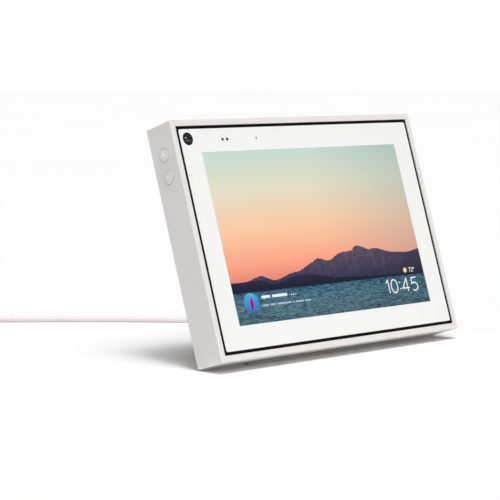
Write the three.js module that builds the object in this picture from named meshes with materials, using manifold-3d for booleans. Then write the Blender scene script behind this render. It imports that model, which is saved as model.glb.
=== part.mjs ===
// A picture-frame smart display that leans back on a swivelling rear leg, with its power cord.
// Millimetres, +Z up, the screen faces -Y, origin under the middle of the display and its leg.
import * as THREE from "three";
import { mergeVertices } from "three/addons/utils/BufferGeometryUtils.js";
import Module from "manifold-3d";

// Driving dimensions.
const leanDegrees = 18.13; // how far the screen leans back from upright
const frameWidth = 213.6;
const frameHeight = 148.8;
const frameDepth = 22.15;
const frameCorner = 1.2; // radius of the frame's four outer corners
const rimWidth = 3.9; // front rim, seen from the front
const rimThickness = 3.6; // front rim, front to back
const wall = 2.5; // side walls behind the rim
const glassRecess = 0.25; // the glass sits this far behind the rim's face
const glassWidth = 201.9;
const glassHeight = 136.9;
const glassThickness = 1.1;
const displayWidth = 172.3; // lit area
const displayHeight = 107.7;
const displayDrop = 0.25; // display centre below the frame's centre
const gap = 0.3; // clearance between neighbouring pieces
const hubX = 32.4; // the leg's swivel, as far from the right side as from the bottom
const hubRadius = 30;
const pivotRadius = 16; // the leg's spigot through the rear cover
const retainerRadius = 21; // pivot plate and friction washer
const pivotScrewHole = 2.3;
const legRootWidth = 30;
const legFootWidth = 22;
const padThickness = 2.5;
const stripLift = 0.4; // the rubber strip holds the rear bottom edge this far up
const stripWidth = 140;
const stripReach = [1, 5.5]; // under the frame, forward from its rear bottom edge
const buttonHeights = { volume_up: 55.6, volume_down: 41.7 };
const buttonDepth = -11;
const buttonRadius = 4;
const footDistances = [67, 80]; // the foot's front and back, behind the frame's back
const cameraPlace = [-94.8, 62.35];
const sensorPlaces = [
  [-66.7, 61.35],
  [-62.9, 61.35],
];
const microphonePlace = [-38.2, 61.45];
const shutterTravel = 9;
const sliderSlotDepths = [-13.2, -8.8];
const screwPlaces = [
  [-92.5, 48],
  [92.5, 48],
  [-92.5, -64],
  [92.5, -64],
];
const screwHeadSink = 1.3; // screw heads sit this far down in the rear cover
const screwHole = 1.35;
const speakerX = 43;
const speakerY = -47;
const grilleRadius = 12.5; // each speaker's field of slots in the rear cover
const grillePitch = 3.6;
const slotHeight = 1.6;
const socketPlace = [82, -54.4];
const cordRadius = 2;
const barrelRadius = 2.75; // the plug's metal barrel in the socket
const plugLength = 19;
const coilCentre = [-112.1, 254.9];
const coilInner = 14;
const coilOuter = 33;
const coilHeight = 8;
const adapterLength = 38;
const adapterWidth = 34;
const adapterHeight = 26;
const adapterPlace = [-144, 272.9]; // its cord outlet
const adapterTurn = 210; // degrees about +Z
const outletHeight = 8;
const reliefLength = 18;
const pinSpacing = 12.7;
const pinLength = 17;
const pinThickness = 1.6;
const pinWidth = 6.4;

// The power cord's route on the surface, from the plug's strain relief to the coil, measured from the
// rear bottom edge of the display.
const cordRoute = [
  [82, 46.3, 6.25],
  [82, 53, 4.2],
  [82.2, 60, 2.8],
  [82.6, 68, 2.2],
  [82.9, 80, 2.05],
  [81.4, 93, 2.05],
  [77.3, 106, 2.05],
  [70.4, 118.5, 2.05],
  [60.5, 130.5, 2.05],
  [46, 145.6, 2.05],
  [29, 163, 2.05],
  [11, 182, 2.05],
  [-12.6, 206, 2.05],
  [-38.8, 231, 2.05],
  [-54, 244.4, 2.05],
  [-66, 255, 2.05],
  [-78.7, 266.5, 2.05],
];

// Planes of the display, along its own depth axis: 0 is the face of the glass, behind it is negative.
const rimFace = glassRecess;
const backPlane = rimFace - frameDepth;
const coverBack = backPlane + gap;
const coverInside = coverBack + 2.4;
const carrierFace = -glassThickness - gap;
const carrierBack = -6.2;
const panelBack = -2.9;
const hubSeat = coverBack + 1.2; // floor of the hub's recess in the rear cover
const screwSeat = coverBack + screwHeadSink;
const below = -25; // a cut that starts here passes through the rear cover
const above = -15; // and ends here

// The leaning group's height above the surface.
const lean = THREE.MathUtils.degToRad(leanDegrees);
const standHeight =
  stripLift + (frameHeight / 2) * Math.cos(lean) - backPlane * Math.sin(lean);
const standReach = (frameHeight / 2) * Math.sin(lean) + backPlane * Math.cos(lean);

const wasm = await Module();
wasm.setup();

// Materials.
const finish = (color, roughness, metalness = 0) =>
  new THREE.MeshStandardMaterial({ color, roughness, metalness });
const whitePlastic = () => finish(0xe9e5e4, 0.5);
const paleGreyPlastic = () => finish(0xd6d2d0, 0.6);
const blackPlastic = () => finish(0x17171a, 0.6);
const blackGlass = () => finish(0x08090c, 0.1);
const printedGlass = () => finish(0xf4f4f3, 0.08);
const displayGlass = () => finish(0x6a8a90, 0.15);
const circuitBoard = () => finish(0x1f4a33, 0.6);
const metal = () => finish(0xb4b6ba, 0.35, 1);
const steel = () => finish(0x8f9196, 0.3, 1);
const rubber = () => finish(0xb9b6b4, 0.85);

// Solids: each helper below gives a closed geometry.
function slab(shape, low, high, curveSegments = 6) {
  const options = { depth: high - low, bevelEnabled: false, curveSegments };
  return new THREE.ExtrudeGeometry(shape, options).translate(0, 0, low);
}

function rectangle(width, height, radius, x = 0, y = 0) {
  const shape = new THREE.Shape();
  const [right, top] = [width / 2 - radius, height / 2 - radius];
  shape.absarc(x + right, y + top, radius, 0, Math.PI / 2);
  shape.absarc(x - right, y + top, radius, Math.PI / 2, Math.PI);
  shape.absarc(x - right, y - top, radius, Math.PI, 1.5 * Math.PI);
  shape.absarc(x + right, y - top, radius, 1.5 * Math.PI, 2 * Math.PI);
  return shape;
}

function plate(width, height, radius, low, high, x = 0, y = 0, curveSegments = 1) {
  return slab(rectangle(width, height, radius, x, y), low, high, curveSegments);
}

function block(x0, x1, y0, y1, z0, z1) {
  return new THREE.BoxGeometry(x1 - x0, y1 - y0, z1 - z0).translate(
    (x0 + x1) / 2,
    (y0 + y1) / 2,
    (z0 + z1) / 2,
  );
}

function rod(radius, low, high, x = 0, y = 0, segments = 24) {
  return new THREE.CylinderGeometry(radius, radius, high - low, segments)
    .rotateX(Math.PI / 2)
    .translate(x, y, (low + high) / 2);
}

// A turned solid about Z: profile points are [radius, z], listed from low z to high z.
function turned(profile, segments = 24) {
  const points = profile.map(([radius, z]) => new THREE.Vector2(radius, z));
  return new THREE.LatheGeometry(points, segments).rotateX(Math.PI / 2);
}

// A section drawn as [y, z] and run along X, centred on x.
function alongX(shape, width, x = 0) {
  const turn = new THREE.Matrix4().makeBasis(
    new THREE.Vector3(0, 1, 0),
    new THREE.Vector3(0, 0, 1),
    new THREE.Vector3(1, 0, 0),
  );
  return slab(shape, -width / 2, width / 2, 9).applyMatrix4(turn).translate(x, 0, 0);
}

// A section drawn as [x, z] and run along Y, far enough to pass through everything.
function alongY(shape) {
  const turn = new THREE.Matrix4().makeBasis(
    new THREE.Vector3(1, 0, 0),
    new THREE.Vector3(0, 0, 1),
    new THREE.Vector3(0, -1, 0),
  );
  return slab(shape, -frameHeight, frameHeight).applyMatrix4(turn);
}

function polygon(points) {
  return new THREE.Shape(points.map(([a, b]) => new THREE.Vector2(a, b)));
}

// Booleans.
function solidOf(geometry) {
  const bare = geometry.clone();
  bare.deleteAttribute("normal");
  bare.deleteAttribute("uv");
  const merged = mergeVertices(bare, 1e-4);
  return new wasm.Manifold(
    new wasm.Mesh({
      numProp: 3,
      vertProperties: new Float32Array(merged.attributes.position.array),
      triVerts: new Uint32Array(merged.index.array),
    }),
  );
}

function geometryOf(solid) {
  const mesh = solid.getMesh();
  const geometry = new THREE.BufferGeometry();
  geometry.setAttribute(
    "position",
    new THREE.BufferAttribute(new Float32Array(mesh.vertProperties), 3),
  );
  geometry.setIndex(new THREE.BufferAttribute(new Uint32Array(mesh.triVerts), 1));
  geometry.computeVertexNormals();
  return geometry;
}

function cut(body, ...tools) {
  return geometryOf(tools.reduce((left, tool) => left.subtract(solidOf(tool)), solidOf(body)));
}

function join(...bodies) {
  return geometryOf(bodies.map(solidOf).reduce((whole, body) => whole.add(body)));
}

function common(first, second) {
  return geometryOf(solidOf(first).intersect(solidOf(second)));
}

function piece(name, geometry, material) {
  const mesh = new THREE.Mesh(geometry, material);
  mesh.name = name;
  return mesh;
}

// Height along the screen at which the surface, raised by lift, crosses a depth plane.
function surfaceAt(depth, lift = 0) {
  return (lift - standHeight - depth * Math.sin(lean)) / Math.cos(lean);
}

// Housing.
const insideWidth = frameWidth - 2 * wall - 2 * gap;
const insideHeight = frameHeight - 2 * wall - 2 * gap;
const socketRadius = 5;
const screwHeadRadius = 2.6;

function outerFrame() {
  const inside = backPlane - 1;
  const opening = plate(
    frameWidth - 2 * rimWidth,
    frameHeight - 2 * rimWidth,
    0.6,
    inside,
    rimFace + 1,
  );
  const cavity = plate(
    frameWidth - 2 * wall,
    frameHeight - 2 * wall,
    0.6,
    inside,
    rimFace - rimThickness,
  );
  const buttonHoles = Object.values(buttonHeights).map((y) =>
    rod(buttonRadius + gap, -wall * 2, wall * 2)
      .rotateY(Math.PI / 2)
      .translate(-frameWidth / 2, y, buttonDepth),
  );
  const [slotLeft, slotRight] = [sliderX - 6 - shutterTravel - 0.4, sliderX + 6.4];
  const top = frameHeight / 2;
  const sliderSlot = block(slotLeft, slotRight, top - 5, top + 1, ...sliderSlotDepths);
  return cut(
    plate(frameWidth, frameHeight, frameCorner, backPlane, rimFace),
    opening,
    cavity,
    ...buttonHoles,
    sliderSlot,
  );
}

function grilleSlots(x, y) {
  return [-3, -2, -1, 0, 1, 2, 3].map((row) => {
    const rise = row * grillePitch;
    const length = 2 * Math.sqrt(grilleRadius ** 2 - rise ** 2);
    return plate(length, slotHeight, 0.7, below, above, x, y + rise);
  });
}

function rearCover() {
  const screwHoles = screwPlaces.flatMap(([x, y]) => [
    rod(screwHeadRadius + gap, below, screwSeat, x, y, 16),
    rod(screwHole, below, above, x, y, 12),
  ]);
  return cut(
    plate(insideWidth, insideHeight, 0.6, coverBack, coverInside),
    rod(hubRadius + 0.5, below, hubSeat, hubX, 0, 48),
    rod(pivotRadius + gap, below, above, hubX, 0, 32),
    rod(socketRadius + gap, below, above, ...socketPlace),
    ...screwHoles,
    ...grilleSlots(-speakerX, speakerY),
    ...grilleSlots(speakerX, speakerY),
  );
}

function coverScrew([x, y]) {
  const seat = screwSeat - gap;
  const shank = screwHole - gap;
  const profile = [
    [0, seat - 1],
    [screwHeadRadius, seat - 1],
    [screwHeadRadius, seat],
    [shank, seat],
    [shank, seat + 8],
    [0, seat + 8],
  ];
  return turned(profile, 12).translate(x, y, 0);
}

function coverGlass() {
  const microphoneHole = rod(0.5, -3, 3, ...microphonePlace, 10);
  return cut(plate(glassWidth, glassHeight, 1.2, -glassThickness, 0), microphoneHole);
}

// Shutter and its knob slide together along the top edge.
const bladeRight = -76.5;
const bladeLeft = -90.2;
const armLeft = bladeRight - 4;
const sliderX = (bladeRight + armLeft) / 2;
const knobTop = frameHeight / 2 - 0.2;
const knobBase = frameHeight / 2 - wall - gap;

function privacySliderKnob() {
  const [slotBack, slotFront] = sliderSlotDepths;
  const [back, front] = [slotBack + gap, slotFront - gap];
  const cap = block(sliderX - 6, sliderX + 6, knobBase - 0.4, knobTop, back, front);
  const base = block(sliderX - 16, sliderX + 16, knobBase - 0.8, knobBase, -14.4, -7.6);
  return join(cap, base);
}

function shutterBlade() {
  const blade = block(bladeLeft, bladeRight, 58.2, 66.3, -1.95, -1.65);
  const arm = block(armLeft, bladeRight, 65, 66.3, -12, -1.65);
  const tab = block(armLeft, bladeRight, 65, knobBase - 0.8 - gap, -12, -10.5);
  return join(blade, arm, tab);
}

function frontCarrier() {
  const inner = plate(201.2, 136.4, 0.6, carrierBack, carrierFace);
  const flange = plate(insideWidth, insideHeight, 0.6, -5.4, rimFace - rimThickness - gap);
  const bosses = screwPlaces.map(([x, y]) => rod(3.2, coverInside + gap, -5, x, y, 16));
  const [cameraX, cameraY] = cameraPlace;
  return cut(
    join(inner, flange, ...bosses),
    plate(displayWidth + 4.9, displayHeight + 5.3, 0.4, -8, 0, 0, -displayDrop),
    plate(8.2, 8.2, 0.4, -8, 0, cameraX, cameraY),
    block(-100, bladeRight + 1, 57.9, 67.2, -2.3, 0),
    block(armLeft - shutterTravel - 0.4, bladeRight + 0.4, 64.6, 66.7, -8, 0),
    ...sensorPlaces.map(([x, y]) => rod(1.3, -8, 0, x, y, 12)),
    rod(0.7, -8, 0, ...microphonePlace, 10),
    ...screwPlaces.map(([x, y]) => rod(screwHole, -20, -8, x, y, 12)),
  );
}

// Electronics.
function displayPlate(low, high) {
  return plate(displayWidth + 4.1, displayHeight + 4.1, 0.3, low, high, 0, -displayDrop);
}

function displayPanel() {
  return displayPlate(panelBack, carrierFace);
}

function backlightUnit() {
  return displayPlate(carrierBack, panelBack - gap);
}

function heatSpreader() {
  return plate(176, 114, 2, -7.5, carrierBack - gap, 0, -displayDrop);
}

function cameraModule() {
  const [x, y] = cameraPlace;
  return join(plate(7.6, 7.6, 0.4, -9, -4.4, x, y), rod(3.4, -4.6, -2.9, x, y));
}

function cameraLens() {
  const dome = turned([
    [0, -2.7],
    [2.6, -2.7],
    [2.5, -2.4],
    [1.6, -2.25],
    [0, -2.2],
  ]);
  return dome.translate(...cameraPlace, 0);
}

function sensorBoard() {
  const [left, right] = sensorPlaces;
  const board = block(left[0] - 4, right[0] + 4, left[1] - 3, left[1] + 3, -7.6, -6.6);
  const barrels = sensorPlaces.map(([x, y]) => rod(0.95, -7, -1.5, x, y, 12));
  return join(board, ...barrels);
}

function microphoneBoard() {
  const [x, y] = microphonePlace;
  return join(
    block(x - 4, x + 4, y - 3, y + 3, -7.6, -6.6),
    block(x - 1.7, x + 1.7, y - 1.3, y + 1.3, -8.7, -7.4),
  );
}

function mainBoard() {
  return cut(
    plate(100, 60, 1, -9.9, -8.7, -12, 26),
    rod(1.6, -11, -7, -58, 52, 12),
    rod(1.6, -11, -7, 34, 52, 12),
  );
}

function shieldCan() {
  return cut(block(-42, 2, 10, 44, -12.6, -10.2), block(-41.6, 1.6, 10.4, 43.6, -12.2, -10));
}

function speakerBox(x) {
  return cut(
    plate(54, 37, 2, -17.2, -8.6, x, speakerY),
    plate(51.6, 34.6, 1, -16, -9.8, x, speakerY),
    rod(13.4, -18, -15, x, speakerY),
  );
}

function speakerDriver(x) {
  return turned([
    [0, -17.6],
    [4, -17.9],
    [10.5, -15.6],
    [12, -18.4],
    [13.5, -18.9],
    [15.2, -18.9],
    [15.2, -17.5],
    [12.9, -17.5],
    [12.9, -14],
    [8, -11],
    [0, -11],
  ]).translate(x, speakerY, 0);
}

function antenna(x) {
  return plate(30, 8, 1, -18.9, -18.1, x, 64);
}

function powerSocket() {
  const [x, y] = socketPlace;
  return cut(
    join(block(x - 5.5, x + 5.5, y - 5.5, y + 5.5, -18.9, -9), rod(socketRadius, -21.4, -18.5, x, y)),
    rod(barrelRadius + gap, below, -11.5, x, y),
  );
}

// Buttons, pressed in along +X.
const boardX = -98.4;

function volumeButton(y) {
  const button = turned([
    [0, 0],
    [buttonRadius - 0.2, 0],
    [buttonRadius, 0.2],
    [buttonRadius, 2.9],
    [buttonRadius + 0.65, 2.9],
    [buttonRadius + 0.65, 3.8],
    [1.6, 3.8],
    [1.6, 5.4],
    [0, 5.4],
  ]);
  return button.rotateY(Math.PI / 2).translate(-frameWidth / 2 + 0.1, y, buttonDepth);
}

function buttonBoard() {
  const [high, low] = Object.values(buttonHeights);
  return block(boardX, boardX + 1.2, low - 6, high + 2.6, buttonDepth - 5, buttonDepth + 4);
}

function tactSwitch(y) {
  const body = block(boardX - 1.9, boardX - gap, y - 2, y + 2, buttonDepth - 2, buttonDepth + 2);
  const plunger = rod(1, 0, 0.5, 0, 0, 12)
    .rotateY(Math.PI / 2)
    .translate(boardX - 2.2, y, buttonDepth);
  return join(body, plunger);
}

// Stand.
const [footFront, footBack] = footDistances.map((distance) => backPlane - distance);

function standLeg() {
  const footLift = padThickness + gap;
  const profile = new THREE.Shape();
  profile.moveTo(12, -23);
  profile.quadraticCurveTo(-6, -62, surfaceAt(footBack, footLift), footBack);
  profile.lineTo(surfaceAt(footFront, footLift), footFront);
  profile.quadraticCurveTo(-24, -52, -16, -23);
  const taper = polygon([
    [hubX - legRootWidth / 2, -20],
    [hubX - legFootWidth / 2, footBack - 4],
    [hubX + legFootWidth / 2, footBack - 4],
    [hubX + legRootWidth / 2, -20],
  ]);
  const bar = common(alongX(profile, legRootWidth + 10, hubX), alongY(taper));
  const hub = turned([
    [0, -24.4],
    [hubRadius - 1.2, -24.4],
    [hubRadius, -23.2],
    [hubRadius, hubSeat - gap],
    [pivotRadius, hubSeat - gap],
    [pivotRadius, -18.3],
    [0, -18.3],
  ], 48).translate(hubX, 0, 0);
  return cut(join(bar, hub), rod(pivotScrewHole, -22.3, above, hubX, 0, 16));
}

function footPad() {
  const section = polygon([
    [surfaceAt(footFront - 0.6), footFront - 0.6],
    [surfaceAt(footBack), footBack],
    [surfaceAt(footBack, padThickness), footBack],
    [surfaceAt(footFront - 0.6, padThickness), footFront - 0.6],
  ]);
  return alongX(section, legFootWidth - 1, hubX);
}

function frictionWasher() {
  const disc = rod(retainerRadius, coverInside + gap, coverInside + 0.9, hubX, 0, 32);
  return cut(disc, rod(pivotRadius + 1, below, above, hubX, 0, 32));
}

function pivotPlate() {
  const disc = rod(retainerRadius, -18, -16.6, hubX, 0, 32);
  return cut(disc, rod(pivotScrewHole, below, above, hubX, 0, 16));
}

function pivotScrew() {
  return turned([
    [0, -22],
    [2, -22],
    [2, -16.3],
    [4.5, -16.3],
    [4.5, -14.6],
    [0, -14.6],
  ], 16).translate(hubX, 0, 0);
}

// A rubber wedge under the rear bottom edge, flat on the surface.
function baseStrip() {
  const under = (along) => [
    -along * Math.cos(lean) - gap * Math.sin(lean),
    stripLift + along * Math.sin(lean) - gap * Math.cos(lean),
  ];
  const [[backY, backZ], [frontY, frontZ]] = stripReach.map(under);
  return alongX(
    polygon([
      [frontY, frontZ],
      [frontY + 0.5, 0],
      [backY, 0],
      [backY, backZ],
    ]),
    stripWidth,
  );
}

// Power cord.
function powerPlug() {
  return turned([
    [0, backPlane - plugLength],
    [4.6, backPlane - plugLength],
    [5.4, backPlane - plugLength + 5],
    [5.4, backPlane],
    [barrelRadius, backPlane],
    [barrelRadius, backPlane + 9],
    [0, backPlane + 9],
  ]).translate(...socketPlace, 0);
}

function plugStrainRelief() {
  return turned([
    [0, backPlane - 42],
    [2.6, backPlane - 42],
    [3.9, backPlane - plugLength - gap],
    [0, backPlane - plugLength - gap],
  ], 16).translate(...socketPlace, 0);
}

function cordRun() {
  const path = new THREE.CatmullRomCurve3(cordRoute.map((point) => new THREE.Vector3(...point)));
  const section = new THREE.Shape();
  section.absarc(0, 0, cordRadius, 0, 2 * Math.PI);
  const options = { extrudePath: path, steps: 40, curveSegments: 4, bevelEnabled: false };
  return new THREE.ExtrudeGeometry(section, options);
}

function cordCoil() {
  return turned([
    [coilInner, 1],
    [coilInner + 1, 0],
    [coilOuter - 1, 0],
    [coilOuter, 1],
    [coilOuter, coilHeight - 1],
    [coilOuter - 1, coilHeight],
    [coilInner + 1, coilHeight],
    [coilInner, coilHeight - 1],
    [coilInner, 1],
  ], 36).translate(...coilCentre, 0);
}

// Wall adapter, drawn with its cord outlet at the origin of its own group, body towards +X.
function adapterBody() {
  const centre = reliefLength + gap + adapterLength / 2;
  return plate(adapterLength, adapterWidth, 4, 0, adapterHeight, centre, 0, 4);
}

function adapterStrainRelief() {
  return turned([
    [0, 0],
    [2.6, 0],
    [4, reliefLength],
    [0, reliefLength],
  ], 16).rotateY(Math.PI / 2).translate(0, 0, outletHeight);
}

function adapterPin(side) {
  const start = reliefLength + adapterLength + 2 * gap;
  return new THREE.BoxGeometry(pinLength, pinThickness, pinWidth).translate(
    start + pinLength / 2,
    (side * pinSpacing) / 2,
    adapterHeight / 2,
  );
}

// Assembly.
const display = new THREE.Group();
display.rotation.x = Math.PI / 2 - lean;
display.position.set(0, standReach, standHeight);
display.add(
  piece("outer_frame", outerFrame(), whitePlastic()),
  piece("rear_cover", rearCover(), paleGreyPlastic()),
  piece("cover_glass", coverGlass(), printedGlass()),
  piece("front_carrier", frontCarrier(), blackPlastic()),
  piece("display_panel", displayPanel(), displayGlass()),
  piece("backlight_unit", backlightUnit(), metal()),
  piece("heat_spreader", heatSpreader(), metal()),
  piece("main_board", mainBoard(), circuitBoard()),
  piece("shield_can", shieldCan(), metal()),
  piece("camera_module", cameraModule(), blackPlastic()),
  piece("camera_lens", cameraLens(), blackGlass()),
  piece("shutter_blade", shutterBlade(), blackPlastic()),
  piece("privacy_slider_knob", privacySliderKnob(), whitePlastic()),
  piece("sensor_board", sensorBoard(), circuitBoard()),
  piece("microphone_board", microphoneBoard(), circuitBoard()),
  piece("button_board", buttonBoard(), circuitBoard()),
  piece("antenna_left", antenna(-52), circuitBoard()),
  piece("antenna_right", antenna(52), circuitBoard()),
  piece("power_socket", powerSocket(), blackPlastic()),
  piece("stand_leg", standLeg(), whitePlastic()),
  piece("foot_pad", footPad(), rubber()),
  piece("friction_washer", frictionWasher(), steel()),
  piece("pivot_plate", pivotPlate(), steel()),
  piece("pivot_screw", pivotScrew(), steel()),
);
for (const [name, y] of Object.entries(buttonHeights)) {
  display.add(
    piece(name + "_button", volumeButton(y), whitePlastic()),
    piece(name + "_switch", tactSwitch(y), blackPlastic()),
  );
}
for (const [side, x] of [["left", -speakerX], ["right", speakerX]]) {
  display.add(
    piece("speaker_box_" + side, speakerBox(x), blackPlastic()),
    piece("speaker_driver_" + side, speakerDriver(x), blackPlastic()),
  );
}
screwPlaces.forEach((place, index) => {
  display.add(piece("cover_screw_" + (index + 1), coverScrew(place), steel()));
});

const product = new THREE.Group();
product.add(display, piece("base_strip", baseStrip(), rubber()));

const cordAtDisplay = new THREE.Group();
cordAtDisplay.rotation.copy(display.rotation);
cordAtDisplay.position.copy(display.position);
cordAtDisplay.add(
  piece("power_plug", powerPlug(), whitePlastic()),
  piece("plug_strain_relief", plugStrainRelief(), whitePlastic()),
);

const adapter = new THREE.Group();
adapter.position.set(...adapterPlace, 0);
adapter.rotation.z = THREE.MathUtils.degToRad(adapterTurn);
adapter.add(
  piece("adapter_body", adapterBody(), whitePlastic()),
  piece("adapter_strain_relief", adapterStrainRelief(), whitePlastic()),
  piece("adapter_pin_left", adapterPin(-1), steel()),
  piece("adapter_pin_right", adapterPin(1), steel()),
);

const cord = new THREE.Group();
cord.add(
  cordAtDisplay,
  piece("cord_run", cordRun(), whitePlastic()),
  piece("cord_coil", cordCoil(), whitePlastic()),
  adapter,
);

// The origin is under the middle of the display and its leg, the cord left out.
const assembly = new THREE.Group();
product.updateMatrixWorld(true);
const middle = new THREE.Box3().setFromObject(product, true).getCenter(new THREE.Vector3());
assembly.position.y = -middle.y;
assembly.add(product, cord);

const part = new THREE.Group();
part.add(assembly);
export default part;
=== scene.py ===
import math

import bmesh
import bpy
from mathutils import Matrix, Vector


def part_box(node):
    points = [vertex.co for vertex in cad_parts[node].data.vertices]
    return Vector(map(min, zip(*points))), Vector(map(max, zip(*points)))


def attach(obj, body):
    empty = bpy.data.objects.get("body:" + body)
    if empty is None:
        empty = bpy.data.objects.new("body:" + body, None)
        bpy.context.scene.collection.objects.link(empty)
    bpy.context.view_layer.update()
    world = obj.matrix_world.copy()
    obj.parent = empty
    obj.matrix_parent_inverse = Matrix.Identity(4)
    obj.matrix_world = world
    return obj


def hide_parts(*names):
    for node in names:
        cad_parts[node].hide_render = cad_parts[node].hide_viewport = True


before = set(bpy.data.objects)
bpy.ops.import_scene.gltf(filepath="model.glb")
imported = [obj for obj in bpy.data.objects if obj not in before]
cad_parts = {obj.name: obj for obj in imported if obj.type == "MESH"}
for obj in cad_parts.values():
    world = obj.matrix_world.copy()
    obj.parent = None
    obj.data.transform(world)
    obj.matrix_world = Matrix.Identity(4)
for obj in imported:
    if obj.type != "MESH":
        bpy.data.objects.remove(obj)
bpy.context.view_layer.update()
scene = bpy.context.scene
MM = 0.001

# ---------------------------------------------------------------- dimensions
LEAN = math.radians(18.13)
FRAME_W, FRAME_H, FRAME_D = 213.6, 148.8, 22.15
RIM_W, RIM_T, WALL = 3.9, 3.6, 2.5
RIM_FACE = 0.25
BACK = RIM_FACE - FRAME_D
GLASS_W, GLASS_H, GLASS_T = 201.9, 136.9, 1.1
SCREEN_W, SCREEN_H, SCREEN_Y = 172.3, 107.7, -0.25
GAP = 0.3
COVER_BACK = BACK + GAP
COVER_IN = COVER_BACK + 2.4
HUB_SEAT, SCREW_SEAT = COVER_BACK + 1.2, COVER_BACK + 1.3
HUB_X, HUB_R = 32.4, 30.0
SOCKET = (82.0, -54.4)
SPEAKERS = (-43.0, 43.0)
SPEAKER_Y = -47.0
SCREWS = ((-92.5, 48), (92.5, 48), (-92.5, -64), (92.5, -64))
BUTTONS = {"volume_up": 55.6, "volume_down": 41.7}
BUTTON_Z = -11.0
CAMERA_XY = (-94.8, 62.35)
SENSORS = ((-66.7, 61.35), (-62.9, 61.35))
MIC = (-38.2, 61.45)
SLIDER_X, SLIDER_Z = -78.5, -11.0
CORD_R = 2.0
COIL = (-112.1, 254.9)
ADAPTER = (-144.0, 272.9)

# The leaning group's matrix, found from the frame's own node.
frame_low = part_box("outer_frame")[0]
REST_Y = frame_low.y / MM + FRAME_D * math.cos(LEAN)
LIFT = frame_low.z / MM
HALF = FRAME_H / 2
PLACE = Vector(
    (
        0,
        REST_Y + HALF * math.sin(LEAN) + BACK * math.cos(LEAN),
        LIFT + HALF * math.cos(LEAN) - BACK * math.sin(LEAN),
    )
)
DISPLAY = Matrix.Translation(PLACE * MM) @ Matrix.Rotation(math.pi / 2 - LEAN, 4, "X")
GROUND = Matrix.Identity(4)


# ---------------------------------------------------------------- camera
LOOK_DOWN, LOOK_RIGHT = 5.65, 43.53
camera_data = bpy.data.cameras.new("camera")
camera_data.lens = 135.1
camera_data.sensor_width = 36
camera_data.clip_start, camera_data.clip_end = 0.05, 100
camera = bpy.data.objects.new("camera", camera_data)
camera.location = (-0.84449, -0.85353, 0.18167)
camera.rotation_euler = (math.radians(90 - LOOK_DOWN), 0, math.radians(-LOOK_RIGHT))
scene.collection.objects.link(camera)
scene.camera = camera
scene.view_settings.view_transform = "Standard"


# ---------------------------------------------------------------- mesh helpers
def rounded(width, height, radius, z, cx=0.0, cy=0.0, steps=6):
    """A rounded rectangle at height z, counter-clockwise, (steps + 1) points a corner."""
    radius = max(radius, 0.02)
    points = []
    for quarter, (sx, sy) in enumerate(((1, 1), (-1, 1), (-1, -1), (1, -1))):
        mx, my = cx + sx * (width / 2 - radius), cy + sy * (height / 2 - radius)
        for k in range(steps + 1):
            a = (quarter + k / steps) * math.pi / 2
            points.append(Vector((mx + radius * math.cos(a), my + radius * math.sin(a), z)))
    return points


def inset_ring(width, height, inset, corner, z, *place):
    """A rounded rectangle moved in by inset on every side."""
    return rounded(width - 2 * inset, height - 2 * inset, corner, z, *place)


def quarter_turn(steps):
    """The cosine and sine at each step of a quarter turn, from (1, 0) to (0, 1)."""
    angles = [math.pi / 2 * k / steps for k in range(steps + 1)]
    return [(math.cos(a), math.sin(a)) for a in angles]


def circle(radius, z, cx=0.0, cy=0.0, count=48):
    """Points of a circle at height z, counter-clockwise."""
    turn = [2 * math.pi * k / count for k in range(count)]
    return [Vector((cx + radius * math.cos(a), cy + radius * math.sin(a), z)) for a in turn]


def loft(bm, rings, wrap=False):
    """Joins closed rings of equal length, in order: capped, or with the last joined to the first."""
    rows = [[bm.verts.new(p) for p in ring] for ring in rings]
    pairs = list(zip(rows, rows[1:]))
    if wrap:
        pairs.append((rows[-1], rows[0]))
    count = len(rows[0])
    for a, b in pairs:
        for i in range(count):
            j = (i + 1) % count
            bm.faces.new((a[i], a[j], b[j], b[i]))
    if not wrap:
        bm.faces.new(list(reversed(rows[0])))
        bm.faces.new(rows[-1])


def turned(bm, profile, cx=0.0, cy=0.0, count=48):
    """A solid of revolution about Z from [radius, z] points; a radius of 0 closes it."""
    rows = []
    for radius, z in profile:
        if radius < 1e-6:
            rows.append([bm.verts.new((cx, cy, z))])
        else:
            rows.append([bm.verts.new(p) for p in circle(radius, z, cx, cy, count)])
    for a, b in zip(rows, rows[1:]):
        for i in range(count):
            j = (i + 1) % count
            if len(a) == 1 and len(b) == 1:
                continue
            if len(a) == 1:
                bm.faces.new((a[0], b[j], b[i]))
            elif len(b) == 1:
                bm.faces.new((a[i], a[j], b[0]))
            else:
                bm.faces.new((a[i], a[j], b[j], b[i]))


def prism(bm, outline, z0, z1):
    """A flat outline, counter-clockwise, given thickness."""
    loft(bm, [[Vector((x, y, z)) for x, y in outline] for z in (z0, z1)])


def slot_tool(bm, x0, x1, y, half, z_out, z_in, flare):
    """A round-ended cutter for a slot in the back, wider by flare where it breaks the surface."""
    rings = []
    for z, extra in ((z_out - 1, flare), (z_out, flare), (z_out + flare, 0), (z_in, 0)):
        reach = half + extra
        ring = []
        for x, start in ((x1, -math.pi / 2), (x0, math.pi / 2)):
            for k in range(9):
                a = start + math.pi * k / 8
                ring.append(Vector((x + reach * math.cos(a), y + reach * math.sin(a), z)))
        rings.append(ring)
    loft(bm, rings)


def finish_mesh(obj, angle=32, weighted=True):
    """Smooth shading with crisp edges above an angle."""
    mesh = obj.data
    mesh.shade_smooth()
    mesh.set_sharp_from_angle(angle=math.radians(angle))
    if weighted:
        modifier = obj.modifiers.new("normals", "WEIGHTED_NORMAL")
        modifier.keep_sharp = True
        modifier.weight = 80


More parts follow.
